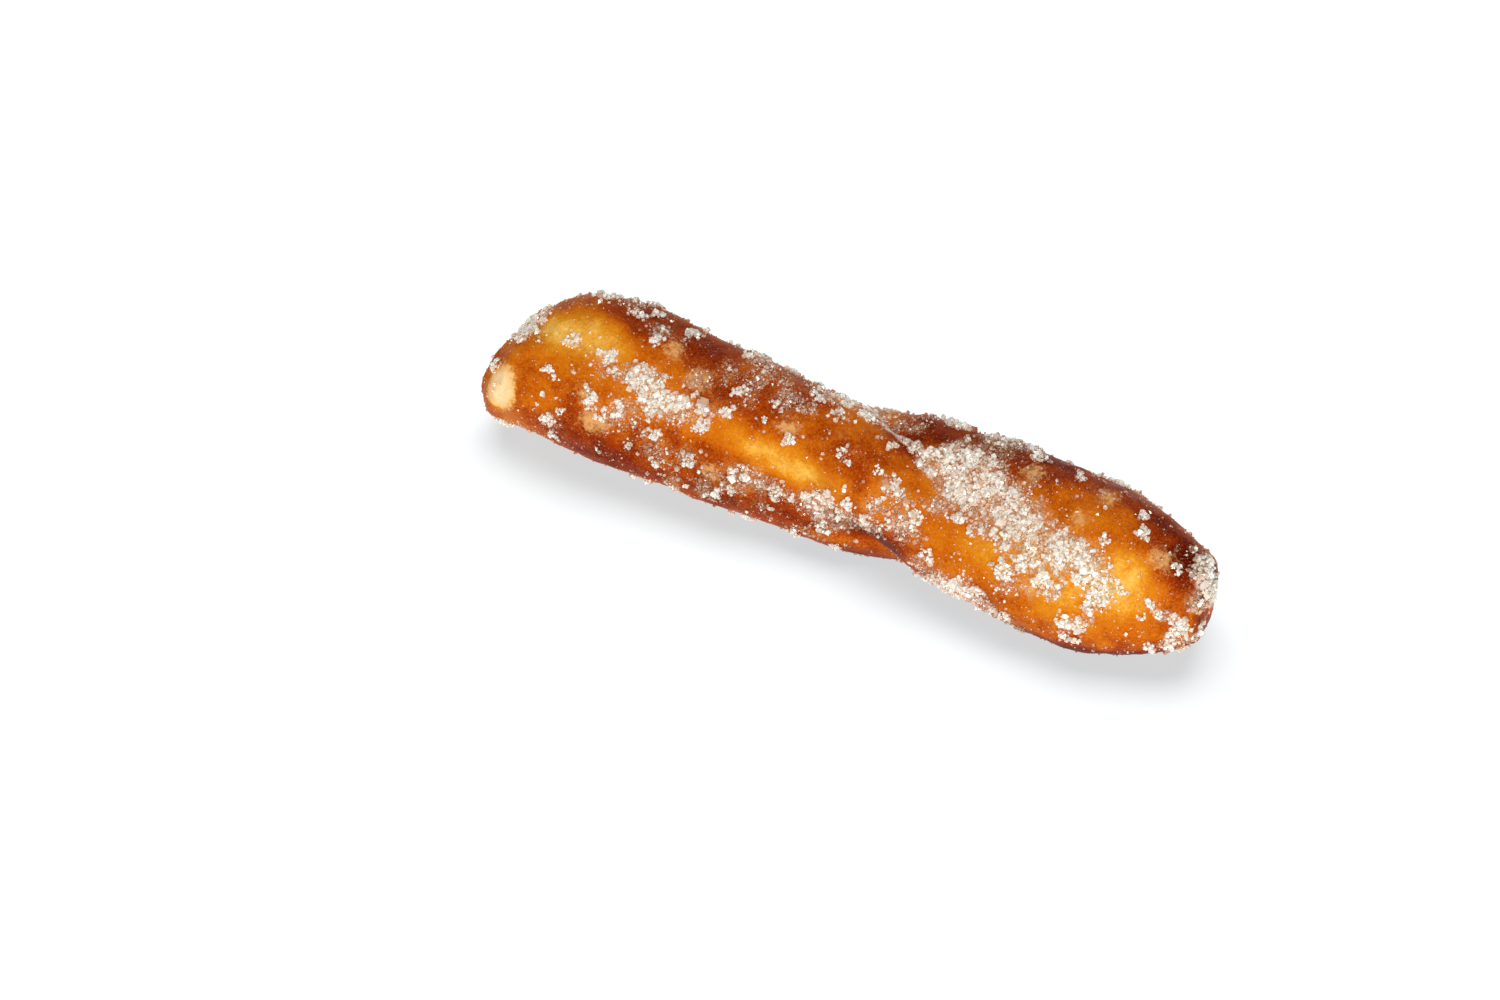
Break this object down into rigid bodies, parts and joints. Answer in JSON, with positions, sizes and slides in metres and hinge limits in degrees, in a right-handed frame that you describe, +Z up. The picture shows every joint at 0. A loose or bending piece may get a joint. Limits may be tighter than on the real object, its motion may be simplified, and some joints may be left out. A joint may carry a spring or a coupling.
{
  "type": "soft pretzel stick",
  "caption": "Short twisted stick of soft pretzel dough, three strands round one another with blunt ends, under a crust of coarse sugar, lying on its side.",
  "frame": {"origin": "under the middle of the stick's box, on the surface that the stick lies on", "axes": "+X along the stick, towards the end with the cut face; +Z up"},
  "size_m": [0.1284, 0.028, 0.0269],
  "materials": {
    "crust": "baked golden-brown crust, satin, deeper brown on the ridges and yellow in the grooves",
    "sugar": "coarse white sugar grains, glittering, in crusts and loose clusters"
  },
  "bodies": {
    "root": {"pretzel_stick": "crust"}
  },
  "joints": []
}
